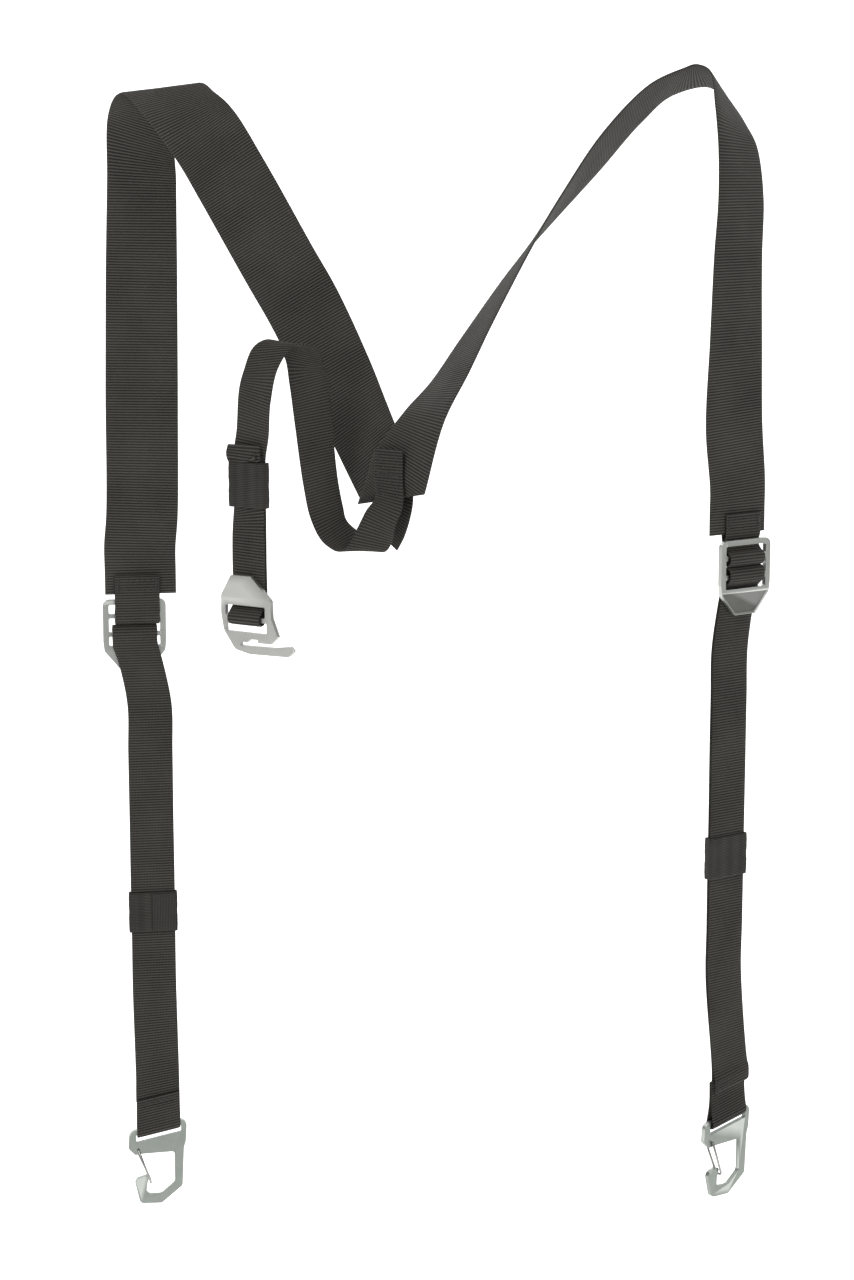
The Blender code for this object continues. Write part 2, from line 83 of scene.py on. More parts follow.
# The join: how far the right strap and the patch stand out, and its lower edge's height and slope.
YOKE_RIGHT_UP, YOKE_BACK_UP = 2.3, 6.0
YOKE_HEM, HEM_SLOPE = -9.0, 0.19
# The slope of a front strap's foot, which follows the carabiner's slot.
SLOT_SLOPE = 0.2
# A gate's wire: its radius, and how far each leg lies from the plate's middle plane.
GATE_WIRE, GATE_LANE = 0.6, 2.4
# The two layers of a strap inside its keeper, and the keeper's height.
LAYERS_OUT = (MAIN_OUT + TAIL_OUT) / 2
LAYERS_DEPTH, KEEPER_HEIGHT = 3.8, 23.0


def frame_at(origin, across, up):
    """A matrix whose x runs across the webbing, y up it and z out of its outer face."""
    across = across.normalized()
    up = (up - across * up.dot(across)).normalized()
    rotation = Matrix((across, up, across.cross(up))).transposed()
    return Matrix.Translation(origin) @ rotation.to_4x4()


def upright_frame(origin, degrees):
    """A frame that stands upright and is turned about the vertical."""
    turn = math.radians(degrees)
    return frame_at(Vector(origin), Vector((math.cos(turn), math.sin(turn), 0.0)), UP)


LEFT = upright_frame((-170.6, 48.0, -286.0), 190.0)
RIGHT = upright_frame((166.3, -4.0, -245.0), 36.0)
HOOK = upright_frame((-97.0, -95.0, -251.0), -32.0)
JOIN_FACING = Vector((-0.65, -0.70, 0.29))
YOKE = frame_at(Vector((-25.0, -73.0, -206.0)), UP.cross(JOIN_FACING), UP)

# Each front strap: its lock's frame, how far it drifts aside below the lock and kicks aside again at its foot,
# its length to the carabiner's bar, its keeper's height, where its sewn loop and its tail end above that bar,
# how far the tab above is shifted, and 1 where its frame's front faces the camera or -1 where it faces away.
Side = namedtuple("Side", "name axes drift kick drop keeper_up loop_end tail_end tab_shift sign")
SIDES = (
    Side("left", LEFT, drift=-7.4, kick=-0.8, drop=310.0, keeper_up=-181.0, loop_end=19.0, tail_end=17.0,
         tab_shift=-1.6, sign=-1.0),
    Side("right", RIGHT, drift=-6.5, kick=6.0, drop=328.0, keeper_up=-176.0, loop_end=24.0, tail_end=18.0,
         tab_shift=0.0, sign=1.0),
)

# Stations along a strap: its centre, the direction across it and, where given, a stretch of its width.
LEFT_SHOULDER = [
    ((-165, 46, -238), (0.97, 0.18, 0.0)),
    ((-164, 46, -174), (0.98, 0.1, 0.0)),
    ((-163, 46, -108), (0.98, -0.1, 0.0)),
    ((-162, 46, -54), (0.97, -0.24, 0.0)),
    ((-161, 43, -26), (0.97, -0.24, 0.0)),
    ((-149.5, 27, -5.5), (0.96, -0.27, 0.09), 1.12),
    ((-138, 11, -13), (0.93, -0.15, 0.25), 1.04),
    ((-123, -2, -30), (0.89, 0.0, 0.42)),
    ((-108, -12, -54), (0.88, -0.02, 0.48)),
    ((-83, -27, -97), (0.88, -0.05, 0.48)),
    ((-70, -34, -119), (0.87, -0.1, 0.48)),
    ((-52, -44, -155), (0.84, -0.26, 0.47)),
]
RIGHT_SHOULDER = [
    ((-7.5, -83.5, -171.5), (0.47, -0.87, -0.12)),
    ((6, -71, -152), (0.4, -0.9, 0.08)),
    ((20, -58, -129), (0.25, -0.96, 0.05)),
    ((44, -36, -92), (0.03, -1.0, 0.04)),
    ((62, -22, -68), (-0.12, -0.98, 0.1)),
    ((86, -8, -38.5), (-0.3, -0.94, 0.12)),
    ((110, 5, -13.5), (-0.3, -0.93, 0.15)),
    ((128, 13, -2), (-0.26, -0.94, 0.18)),
    ((141, 13, 1), (-0.3, -0.9, 0.28)),
    ((150, 6, -6), (-0.4, -0.8, 0.45)),
    ((154.5, -4, -20), (-0.52, -0.75, 0.35)),
    ((158, -9, -36), (-0.62, -0.76, 0.2)),
    ((160, -10, -62), (-0.68, -0.74, 0.0)),
    ((159, -10, -93), (-0.72, -0.7, 0.0)),
    ((159, -8, -137), (-0.77, -0.64, 0.0)),
    ((159, -7, -182), (-0.82, -0.57, 0.0)),
]
BACK_STRAP = [
    ((-29.5, -82, -223.5), (0.8, -0.55, -0.22)),
    ((-33.3, -82, -233.5), (0.93, -0.3, -0.2), 1.03),
    ((-37, -80, -239.5), (0.96, -0.22, -0.1), 1.03),
    ((-40.5, -76, -240.5), (0.97, 0.1, 0.05), 1.03),
    ((-47, -72.5, -237), (0.75, 0.55, 0.3), 1.0),
    ((-54, -70.5, -231), (0.68, 0.62, 0.37), 1.0),
    ((-57.5, -70, -222), (0.84, 0.5, 0.18)),
    ((-60.5, -72, -206), (0.87, 0.48, 0.0)),
    ((-64, -79, -172), (0.93, 0.35, 0.0)),
    ((-66, -84, -152), (0.93, 0.3, -0.1)),
    ((-68, -88, -143), (0.93, 0.2, -0.2), 1.0),
    ((-72.5, -93, -134.5), (0.95, 0.05, -0.2), 1.25),
    ((-82, -99, -134.5), (0.93, -0.15, 0.05), 1.1),
    ((-89, -98, -146), (0.88, -0.4, 0.1), 1.0),
    ((-92.5, -95, -160), (0.84, -0.52, 0.0)),
    ((-94, -92, -179), (0.84, -0.53, 0.0)),
]


def in_frame(axes, across, up, out):
    return tuple(axes @ Vector((across, up, out)))


def flat_stations(stations):
    """Stations as plain rows of numbers."""
    return [sum(station[:2], ()) + station[2:] for station in stations]


# A hem at a loose end, as (distance from the end, lift): the webbing rises, turns under and runs back.
HEM_FOLD = [(9.6, 0.3), (7.6, 1.4), (1.0, 1.5), (0.15, 0.85), (0.8, 0.1), (6.0, -0.05)]


def around_bar(bar, angles, radius=WRAP):
    """Points (up, out) round a bar, by angle: 0 is in front, 90 is above."""
    return [(bar + radius * math.sin(math.radians(a)), radius * math.cos(math.radians(a))) for a in angles]


def local_stations(axes, profile):
    """Stations from a profile of (across, up, out, slant) rows in a frame."""
    turn = axes.to_3x3()
    rows = []
    for across, up, out, slant in profile:
        side = turn @ Vector((1.0, slant, 0.0))
        rows.append(in_frame(axes, across, up, out) + tuple(side) + (side.length,))
    return rows


def hem_stations(axes, across):
    """A shoulder strap's last stations, hanging flat behind its lock's tab."""
    side = tuple(-axes.to_3x3().col[0])
    return [in_frame(axes, across, up, HEM_OUT) + side for up in (30.0, 16.0, HEM_LOW)]


# ---------------------------------------------------------------- smooth paths and webbing


def slopes_through(rows):
    """Knots along the rows, spaced by the root of each gap, and the slope at each knot."""
    gaps = np.linalg.norm(np.diff(rows[:, :3], axis=0), axis=1)
    knots = np.concatenate(([0.0], np.cumsum(np.sqrt(gaps))))
    return knots, np.gradient(rows, knots, axis=0)


def smooth_path(rows, per_span):
    """A cubic curve through the rows, sampled a set number of times in each span."""
    knots, slopes = slopes_through(rows)
    samples = []
    for i in range(len(rows) - 1):
        span = knots[i + 1] - knots[i]
        for s in np.arange(per_span) / per_span:
            lean = (s**3 - 2 * s**2 + s) * slopes[i] + (s**3 - s**2) * slopes[i + 1]
            leave = 2 * s**3 - 3 * s**2 + 1
            reach = 3 * s**2 - 2 * s**3
            samples.append(leave * rows[i] + reach * rows[i + 1] + span * lean)
    samples.append(rows[-1])
    return np.array(samples)


def squared_rows(stations):
    """Stations of (centre, across, stretch), their sections set at right angles unless stretched."""
    rows = np.array([tuple(station) + (0.0,) * (7 - len(station)) for station in stations])
    for row, slope in zip(rows, slopes_through(rows)[1]):
        along = slope[:3] / np.linalg.norm(slope[:3])
        if row[6] == 0.0:
            row[3:6] -= along * np.dot(row[3:6], along)
        row[3:6] *= (row[6] or 1.0) / np.linalg.norm(row[3:6])
    return rows[:, :6]


def even_path(stations, spacing):
    """The path again with its samples an even distance apart, and that distance run up to each."""
    dense = smooth_path(squared_rows(stations), 24)
    run = np.concatenate(([0.0], np.cumsum(np.linalg.norm(np.diff(dense[:, :3], axis=0), axis=1))))
    count = max(4, round(run[-1] / spacing))
    targets = np.linspace(0.0, run[-1], count + 1)
    return np.stack([np.interp(targets, run, dense[:, k]) for k in range(6)], axis=1), targets


# Distances between ribs, and the height of a rib at each of its rings as a share.
RIB_PITCH, KEEPER_PITCH = 1.5, 0.9
RIB_PROFILE = (0.0, 0.8, 1.0, 0.8)
RIB_RINGS = len(RIB_PROFILE)
EDGE_WANDER = 0.006
# Places across the webbing, as shares of its half width, and how thick it is there.
SECTION = ((-0.985, 0.55), (-0.94, 0.92), (-0.7, 1.0), (-0.35, 1.0), (0.0, 1.0), (0.35, 1.0), (0.7, 1.0),
           (0.94, 0.92), (0.985, 0.55))


def soft_noise(values, seed, waves=5):
    """A smooth wander about zero along a run of lengths, the same each time."""
    draw = np.random.default_rng(seed)
    total = np.zeros_like(values)
    for _ in range(waves):
        total += np.sin(values * draw.uniform(0.015, 0.09) + draw.uniform(0, 2 * math.pi))
    return total / waves


def webbing_mesh(stations, width, pitch=RIB_PITCH, relief=0.16, thickness=THICK, seed=1, wander=0.25):
    """Ribbed webbing swept along stations: a bmesh in millimetres with its run and width in a UV layer."""
    rows, run = even_path(stations, pitch / RIB_RINGS)
    centres, across = rows[:, :3], rows[:, 3:]
    out = np.cross(np.gradient(centres, axis=0), across)
    out /= np.linalg.norm(out, axis=1)[:, None]
    centres = centres + out * (soft_noise(run, seed) * wander)[:, None]
    edge_wander = 1.0 + soft_noise(run, seed + 50) * EDGE_WANDER
    builder = bmesh.new()
    layer = builder.loops.layers.uv.new("webbing")
    faces_of = [(share, 1.0, fullness) for share, fullness in SECTION] + [(1.0, 0.0, 0.0)]
    faces_of += [(share, -1.0, fullness) for share, fullness in reversed(SECTION)] + [(-1.0, 0.0, 0.0)]
    rings = []
    for i, (centre, side, face) in enumerate(zip(centres, across * width / 2, out)):
        rib = relief * RIB_PROFILE[i % RIB_RINGS]
        ring = []
        for share, sign, fullness in faces_of:
            depth = (thickness / 2 - relief) * fullness + rib * fullness**2
            ring.append(builder.verts.new(centre + side * share * edge_wander[i] + face * sign * depth))
        rings.append(ring)
    count = len(faces_of)
    for i, (first, second) in enumerate(zip(rings, rings[1:])):
        for j in range(count):
            k = (j + 1) % count
            quad = builder.faces.new((first[j], first[k], second[k], second[j]))
            quad.smooth = True
            for loop, (place, here) in zip(quad.loops, ((j, i), (k, i), (k, i + 1), (j, i + 1))):
                loop[layer].uv = (faces_of[place][0] * width / 2, run[here])
    builder.faces.new(reversed(rings[0]))
    builder.faces.new(rings[-1])
    return builder


def trimmed(builder, point, away, reach):
    """Cut the end of a solid near a point with a plane, and close it."""
    near = {vert for vert in builder.verts if (vert.co - point).length < reach}
    geometry = list(near)
    geometry += [edge for edge in builder.edges if set(edge.verts) <= near]
    geometry += [face for face in builder.faces if set(face.verts) <= near]
    cut = bmesh.ops.bisect_plane(builder, geom=geometry, plane_co=point, plane_no=away, clear_outer=True)
    rim = [item for item in cut["geom_cut"] if isinstance(item, bmesh.types.BMEdge)]
    bmesh.ops.edgeloop_fill(builder, edges=rim)
    return builder


pieces = bpy.data.collections.new("braces_looks")
bpy.context.scene.collection.children.link(pieces)


def link_mesh(name, builder, material, body, replaces=()):
    """A millimetre bmesh as a piece that rides on a body."""
    bmesh.ops.scale(builder, verts=builder.verts, vec=(MM, MM, MM))
    bmesh.ops.recalc_face_normals(builder, faces=builder.faces)
    mesh = bpy.data.meshes.new(name)
    builder.to_mesh(mesh)
    builder.free()
    piece = bpy.data.objects.new(name, mesh)
    mesh.materials.append(material)
    pieces.objects.link(piece)
    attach(piece, body)
    if replaces:
        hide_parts(*replaces)
    return piece


# ---------------------------------------------------------------- materials


class Nodes:
    """Short calls that build a material's nodes."""

    def __init__(self, name):
        self.material = bpy.data.materials.new(name)
        self.material.use_nodes = True
        self.tree = self.material.node_tree
        self.shader = self.tree.nodes["Principled BSDF"]

    def add(self, kind, inputs=None, **settings):
        node = self.tree.nodes.new(kind)
        for key, value in settings.items():
            setattr(node, key, value)
        for key, value in (inputs or {}).items():
            if isinstance(value, bpy.types.NodeSocket):
                self.tree.links.new(value, node.inputs[key])
            else:
                node.inputs[key].default_value = value
        return node

    def math(self, operation, first, second=0.0):
        return self.add("ShaderNodeMath", {0: first, 1: second}, operation=operation).outputs[0]

    def mix(self, factor, first, second):
        node = self.add("ShaderNodeMix", data_type="RGBA")
        for place, value in ((0, factor), (6, first), (7, second)):
            if isinstance(value, bpy.types.NodeSocket):
                self.tree.links.new(value, node.inputs[place])
            else:
                node.inputs[place].default_value = value
        return node.outputs[2]

    def noise(self, scale, detail, place):
        inputs = {"Scale": scale, "Detail": detail, "Vector": place}
        return self.add("ShaderNodeTexNoise", inputs).outputs["Fac"]

    def position(self):
        return self.add("ShaderNodeTexCoord").outputs["Object"]

    def bump(self, height, strength, distance):
        node = self.add("ShaderNodeBump", {"Strength": strength, "Distance": distance, "Height": height})
        self.tree.links.new(node.outputs[0], self.shader.inputs["Normal"])

    def wire(self, output, socket):
        self.tree.links.new(output, self.shader.inputs[socket])


def webbing_material(name, pitch, light, shade_and_patch_colour, yarn=0.62, weave=0.35):
    """Ribs along the run and warp yarns across it, with painted shade darkening the colour in their valleys, and
    a little dust and wear.
    """
    nodes = Nodes(name)
    uv = nodes.add("ShaderNodeUVMap", uv_map="webbing").outputs[0]
    split = nodes.add("ShaderNodeSeparateXYZ", {0: uv})
    rib = nodes.math("COSINE", nodes.math("MULTIPLY", split.outputs[1], 2 * math.pi / pitch))
    rib = nodes.math("MULTIPLY", nodes.math("SUBTRACT", 1.0, rib), 0.5)
    warp = nodes.math("COSINE", nodes.math("MULTIPLY", split.outputs[0], 2 * math.pi / yarn))
    warp = nodes.math("MULTIPLY", nodes.math("ADD", warp, 1.0), 0.5)
    place = nodes.position()
    patchy = nodes.noise(38.0, 4.0, place)
    fuzz = nodes.noise(2600.0, 2.0, place)
    # Painted shade: the colour darkens in the valleys between ribs and between warp yarns, where less light
    # falls, on top of the shade that the ribbed geometry casts.
    painted_rib_shade = nodes.math("MULTIPLY", rib, nodes.math("ADD", nodes.math("MULTIPLY", warp, weave), 1.0 - weave))
    rib_shade_and_dust = nodes.math("ADD", nodes.math("MULTIPLY", painted_rib_shade, 0.95), nodes.math("MULTIPLY", fuzz, 0.4))
    rib_shade_and_dust = nodes.math("ADD", rib_shade_and_dust, nodes.math("MULTIPLY", nodes.math("SUBTRACT", patchy, 0.5), 0.45))
    rib_shade_and_dust = nodes.math("SUBTRACT", rib_shade_and_dust, 0.12)
    clamp = nodes.add("ShaderNodeClamp", {0: rib_shade_and_dust}).outputs[0]
    nodes.wire(nodes.mix(clamp, shade_and_patch_colour, light), "Base Color")
    nodes.wire(nodes.math("SUBTRACT", 0.92, nodes.math("MULTIPLY", clamp, 0.22)), "Roughness")
    nodes.shader.inputs["Specular IOR Level"].default_value = 0.2
    nodes.shader.inputs["Sheen Weight"].default_value = 0.03
    nodes.shader.inputs["Sheen Roughness"].default_value = 0.5
    height = nodes.math("ADD", nodes.math("MULTIPLY", warp, 0.5), nodes.math("MULTIPLY", fuzz, 0.8))
    nodes.bump(height, 0.55, 0.00022)
    return nodes.material


def thread_material():
    nodes = Nodes("black_thread")
    grain = nodes.noise(3200.0, 2.0, nodes.position())
    nodes.wire(nodes.mix(grain, (0.012, 0.012, 0.012, 1), (0.045, 0.043, 0.040, 1)), "Base Color")
    nodes.shader.inputs["Roughness"].default_value = 0.55
    nodes.bump(grain, 0.5, 0.00015)
    return nodes.material


def metal_material(name, colour, bright, roughness, grain):
    """Tumbled metal: cloudy roughness, a fine grain, and edges rubbed brighter."""
    nodes = Nodes(name)
    place = nodes.position()
    cloud = nodes.noise(160.0, 5.0, place)
    fine = nodes.noise(grain, 2.0, place)
    worn = nodes.add("ShaderNodeNewGeometry").outputs["Pointiness"]
    worn = nodes.add("ShaderNodeMapRange", {0: worn, 1: 0.51, 2: 0.58}).outputs[0]
    shade = nodes.mix(nodes.math("MULTIPLY", cloud, 0.5), colour, tuple(0.82 * c for c in colour[:3]) + (1,))
    nodes.wire(nodes.mix(nodes.math("MULTIPLY", worn, 0.7), shade, bright), "Base Color")
    nodes.shader.inputs["Metallic"].default_value = 1.0
    spread = nodes.math("ADD", roughness - 0.08, nodes.math("MULTIPLY", cloud, 0.16))
    nodes.wire(nodes.math("ADD", spread, nodes.math("MULTIPLY", fine, 0.05)), "Roughness")
    nodes.bump(fine, 0.25, 0.00008)
    return nodes.material


# The dark end of the webbing's colour: painted shade in the rib and yarn valleys, and the darker patches of
# dust.
OLIVE_IN_SHADE_AND_PATCHES = (0.007, 0.0068, 0.0062, 1)
wide_webbing = webbing_material("wide_ribbed_webbing", RIB_PITCH, (0.072, 0.068, 0.059, 1), OLIVE_IN_SHADE_AND_PATCHES)
narrow_webbing = webbing_material("narrow_ribbed_webbing", RIB_PITCH, (0.068, 0.064, 0.055, 1), OLIVE_IN_SHADE_AND_PATCHES,
                                  0.85, 0.5)
keeper_webbing = webbing_material("keeper_elastic", KEEPER_PITCH, (0.052, 0.049, 0.043, 1),
                                  (0.012, 0.0115, 0.011, 1), 0.9, 0.4)
thread = thread_material()
satin = metal_material("satin_aluminium_tumbled", (0.30, 0.31, 0.29, 1), (0.66, 0.67, 0.64, 1), 0.36, 2600.0)
blasted = metal_material("blasted_aluminium", (0.15, 0.15, 0.14, 1), (0.3, 0.3, 0.29, 1), 0.5, 3200.0)
hook_metal = metal_material("hook_aluminium_blasted", (0.42, 0.42, 0.40, 1), (0.75, 0.75, 0.72, 1), 0.42,
                            3200.0)
carabiner_metal = metal_material("carabiner_aluminium", (0.19, 0.21, 0.19, 1), (0.55, 0.58, 0.54, 1), 0.36,
                                 2600.0)
wire_metal = metal_material("drawn_wire", (0.12, 0.12, 0.115, 1), (0.4, 0.4, 0.38, 1), 0.3, 3000.0)

# ---------------------------------------------------------------- stitching


# A stitch's rings: the place along it as a share of its length from the middle, its size there, and its lift.
STITCH_RINGS = (
    (-0.5, 0.2, -0.5), (-0.36, 0.85, 0.1), (-0.12, 1.0, 0.35),
    (0.12, 1.0, 0.35), (0.36, 0.85, 0.1), (0.5, 0.2, -0.5),
)
STITCH_SIDES = 6
# Where a running stitch starts and ends in its step, as shares.
STITCH_ENTRY, STITCH_EXIT = 0.14, 0.86


def stitch(builder, start, end, normal, radius=0.24):
    """One thread stitch: a short rounded bar lying on a face and dipping into it at its ends."""
    run = end - start
    middle = (start + end) / 2 + normal * radius * 0.4
    heading = run.normalized()
    side = heading.cross(normal)
    length = run.length
    rings = []
    for along, size, lift in STITCH_RINGS:
        ring = []
        for k in range(STITCH_SIDES):
            turn = k * 2 * math.pi / STITCH_SIDES
            offset = side * math.cos(turn) * radius * size + normal * (math.sin(turn) * size + lift) * radius
            ring.append(builder.verts.new(middle + heading * along * length + offset))
        rings.append(ring)
    for first, second in zip(rings, rings[1:]):
        for k in range(STITCH_SIDES):
            n = (k + 1) % STITCH_SIDES
            quad = builder.faces.new((first[k], first[n], second[n], second[k]))
            quad.smooth = True
    builder.faces.new(reversed(rings[0]))
    builder.faces.new(rings[-1])


def stitch_row(builder, axes, points, out, length=2.4, gap=0.7, facing=1.0):
    """Running stitches along straight local lines between (across, up) points."""
    normal = axes.to_3x3().col[2].normalized() * facing
    for (x0, y0), (x1, y1) in zip(points, points[1:]):
        start, end = Vector((x0, y0, out)), Vector((x1, y1, out))
        total = (end - start).length
        count = max(1, round(total / (length + gap)))
        step = (end - start) / count
        for i in range(count):
            a = axes @ (start + step * (i + STITCH_ENTRY))
            b = axes @ (start + step * (i + STITCH_EXIT))
            stitch(builder, a, b, normal)


def zigzag(builder, axes, left, right, low, high, out, pitch=0.62, facing=1.0):
    """A bar tack: close zigzag stitches that fill a strip."""
    normal = axes.to_3x3().col[2].normalized() * facing
    count = max(2, round((right - left) / pitch))
    for i in range(count):
        x0 = left + (right - left) * i / count
        x1 = left + (right - left) * (i + 0.55) / count
        ends = (low, high) if i % 2 == 0 else (high, low)
        stitch(builder, axes @ Vector((x0, ends[0], out)), axes @ Vector((x1, ends[1], out)), normal, 0.22)


# ---------------------------------------------------------------- the straps


def shoulder_straps():
    """Both wide straps, cut off along the join's sloped lower edge."""
    sewn = YOKE.to_3x3()
    cut_reach = 80.0
    hem = (YOKE @ Vector((0.0, YOKE_HEM, 0.0)), sewn.col[0] * HEM_SLOPE - sewn.col[1], cut_reach)
    left = list(reversed(hem_stations(LEFT, -3.6))) + flat_stations(LEFT_SHOULDER)
    for x, z, out, dip in ((-27.3, 30.0, -4.9, 0.2), (-15.4, 15.0, -2.8, 0.12), (9.5, -19.0, 0.0, 0.0)):
        left.append(in_frame(YOKE, x, z, out) + tuple(sewn @ Vector((0.83, 0.55, -dip))))
    mesh = trimmed(webbing_mesh(left, WIDE, seed=3, wander=0.2), *hem)
    strap = link_mesh("wide_strap_left", mesh, wide_webbing, "straps", ["shoulder_strap_left"])
    side = tuple(sewn @ Vector((0.9, -0.43, 0.0)))
    right = []
    for x, z, lift in ((-5.6, -27.0, 0.0), (4.4, -6.0, 0.0), (10.4, 6.0, 1.6)):
        right.append(in_frame(YOKE, x, z, YOKE_RIGHT_UP + lift) + side)
    right += flat_stations(RIGHT_SHOULDER) + hem_stations(RIGHT, -3.0)
    mesh = trimmed(webbing_mesh(right, WIDE, seed=8, wander=0.2), *hem)
    strap = link_mesh("wide_strap_right", mesh, wide_webbing, "straps", ["shoulder_strap_right"])


def back_strap():
    """The narrow strap from the patch round the hook's bar and up to its tail, and its end under the join."""
    sewn = YOKE.to_3x3()
    turn = HOOK.to_3x3()
    patch = ((5.0, 18.0), (5.1, 4.0), (5.2, -9.0))
    rows = [in_frame(YOKE, x, z, YOKE_BACK_UP) + tuple(sewn.col[0]) for x, z in patch]
    rows += flat_stations(BACK_STRAP)
    lane = [(up, MAIN_OUT) for up in (60, 30, 8, -18)]
    lane += around_bar(HOOK_BAR, (200, 240, 270, 315, 360, 400))
    lane += [(-18.4, 0.0), (-16.0, -2.3), (-12.0, TAIL_OUT), (20, TAIL_OUT), (56, TAIL_OUT)]
    rows += [in_frame(HOOK, HOOK_DRIFT, up, out) + tuple(turn.col[0]) for up, out in lane]
    for up, out in HEM_FOLD:
        rows.append(in_frame(HOOK, HOOK_DRIFT - TAIL_SKEW, TAIL_END - up, TAIL_OUT + out) + tuple(turn.col[0]))
    mesh = webbing_mesh(rows, BACK, seed=12, wander=0.12)
    strap = link_mesh("narrow_back_strap", mesh, narrow_webbing, "straps", ["back_strap"])
    under = ((4.0, -1.0, -3.2), (4.0, -10.0, -2.4), (-2.0, -22.0, -4.0), (-8.0, -30.0, -5.0))
    rows = [in_frame(YOKE, x, z, out) + tuple(sewn.col[0]) for x, z, out in under]
    mesh = webbing_mesh(rows, BACK, seed=15, wander=0.1)
    tail = link_mesh("sewn_in_end", mesh, narrow_webbing, "straps", ["join_under_tail"])


def tab_profile(shift):
    """The tab: up one face of the shoulder strap's end, round the lock's top bar and up the other face."""
    top = 14.0
    front_face, back_face = HEM_OUT + TAB_STAND, HEM_OUT - TAB_STAND
    lane = [(top, front_face), (4.6, front_face), (1.6, -1.8), (-0.5, -2.6), (-3.6, -2.6), (-5.6, -1.2)]
    lane += around_bar(TAB_BAR, (85, 40, 0)) + [(-11.9, 2.4), (-13.8, 0.3), (-13.4, -2.3)]
    lane += [(-11.4, -3.9), (-7.0, -4.3), (-2.0, -4.3), (1.2, -4.9), (4.6, back_face), (top, back_face)]
    return [(shift, up, out, 0.0) for up, out in lane]


def front_strap_profile(side, slant):
    """From the sewn loop round the carabiner's bar, up through the lock, and down again to the tail."""
    bar_out = MAIN_OUT - PLY / 2
    low = -side.drop
    bend = low + 85.0
    foot = side.drift + side.kick
    loop_out = MAIN_OUT - PLY
    upright = (bend, bend + 28.0, low / 2, -88.0, -60.0)
    lane = [(foot, low + side.loop_end, loop_out, slant), (foot, low + 12.0, loop_out, slant)]
    for up, out in around_bar(low, (150, 180, 215, 250, 290, 325, 360, 390), WRAP + 0.2):
        lane.append((foot, up, bar_out + out, slant))
    lane += [(foot, low + 12.0, MAIN_OUT, slant), (foot, low + 30.0, MAIN_OUT, slant * 0.7)]
    lane += [(side.drift, up, MAIN_OUT, 0.0) for up in upright]
    lane += [(side.drift * 0.4, -36.0, MAIN_OUT, 0.0), (0.0, -24.0, MAIN_OUT, 0.0)]
    turn = [(-18.0, -4.1), (-15.5, -2.4), (-15.05, 0.2), (-16.9, 2.4), (-20.0, 2.75), (-21.95, 1.94)]
    lane += [(0.0, up, out, 0.0) for up, out in turn]
    lane += [(0.0, -23.7, 0.1, 0.0), (0.0, -26.4, -2.5, 0.0), (side.drift * 0.4, -36.0, TAIL_OUT, 0.0)]
    lane += [(side.drift, up, TAIL_OUT, 0.0) for up in reversed(upright)]
    lane.append((foot, low + 30.0, TAIL_OUT, slant * 0.7))
    lane += [(foot, low + side.tail_end + up, TAIL_OUT + out, slant) for up, out in HEM_FOLD[1:]]
    return lane


def sleeve(axes, centre, width, depth, height, wall=1.0):
    """A woven sleeve with rounded edges, its ends turned in a little."""
    x, y, z = centre
    around, levels = 56, 26
    roundness = 0.16
    builder = bmesh.new()
    layer = builder.loops.layers.uv.new("webbing")
    rows = []
    for shell in (1, 0):
        order = range(levels + 1) if shell else range(levels, -1, -1)
        for level in order:
            share = level / levels
            lip = 0.16 * math.cos(share * 2 * math.pi) ** 8
            grow = wall * shell - lip * shell + 0.02 * math.sin(share * 40)
            ring = []
            for k in range(around):
                turn = 2 * math.pi * k / around
                cx = math.copysign(abs(math.cos(turn)) ** roundness, math.cos(turn)) * (width / 2 + grow)
                cz = math.copysign(abs(math.sin(turn)) ** (roundness * 2.2), math.sin(turn)) * (depth / 2 + grow)
                ring.append(builder.verts.new((x + cx, y + (share - 0.5) * height, z + cz)))
            rows.append((ring, share * height))
    rows.append(rows[0])
    for (first, low), (second, high) in zip(rows, rows[1:]):
        for k in range(around):
            n = (k + 1) % around
            quad = builder.faces.new((first[k], first[n], second[n], second[k]))
            quad.smooth = True
            for loop, place in zip(quad.loops, ((k, low), (k + 1, low), (k + 1, high), (k, high))):
                loop[layer].uv = place
    bmesh.ops.transform(builder, verts=builder.verts, matrix=axes)
    return builder


def front(side):
    """One side's tab, front strap and keeper, with their stitching."""
    name, axes = side.name, side.axes
    slant = SLOT_SLOPE * side.sign
    tab = webbing_mesh(local_stations(axes, tab_profile(side.tab_shift)), FRONT, seed=21, wander=0.0)
    tab = link_mesh("tab_webbing_" + name, tab, narrow_webbing, "straps", ["tab_loop_" + name])
    profile = front_strap_profile(side, slant)
    strap = webbing_mesh(local_stations(axes, profile), FRONT, seed=25, wander=0.1)
    strap = link_mesh("front_webbing_" + name, strap, narrow_webbing, "front_" + name,
                      ["front_strap_" + name])
    ring = sleeve(axes, (side.drift, side.keeper_up, LAYERS_OUT), FRONT + 0.8, LAYERS_DEPTH, KEEPER_HEIGHT)
    keeper = link_mesh("keeper_sleeve_" + name, ring, keeper_webbing, "keeper_" + name,
                       ["keeper_" + name])
    if side.sign < 0:
        seam_flap(side)
    tab_threads(side)
    loop_threads(side, slant)


def tab_threads(side):
    """Two bar tacks and two rows of stitching on each face of a tab."""
    axes, shift = side.axes, side.tab_shift
    stitches = bmesh.new()
    face = HEM_OUT + TAB_STAND + THICK / 2
    back = HEM_OUT - TAB_STAND - THICK / 2
    edge = FRONT / 2 - 2.0
    for x in (-edge, edge):
        zigzag(stitches, turned(axes, (shift + x, 8.5, face)), -3.6, 3.6, -0.8, 0.8, 0.0)
        zigzag(stitches, turned(axes, (shift + x, 8.5, back)), -3.6, 3.6, -0.8, 0.8, 0.0, facing=-1.0)
    for level in (6.0, 11.5):
        line = [(shift - edge, level), (shift + edge, level)]
        stitch_row(stitches, axes, line, face)
        stitch_row(stitches, axes, line, back, facing=-1.0)
    link_mesh("tab_threads_" + side.name, stitches, thread, "straps", ["tab_stitching_" + side.name])


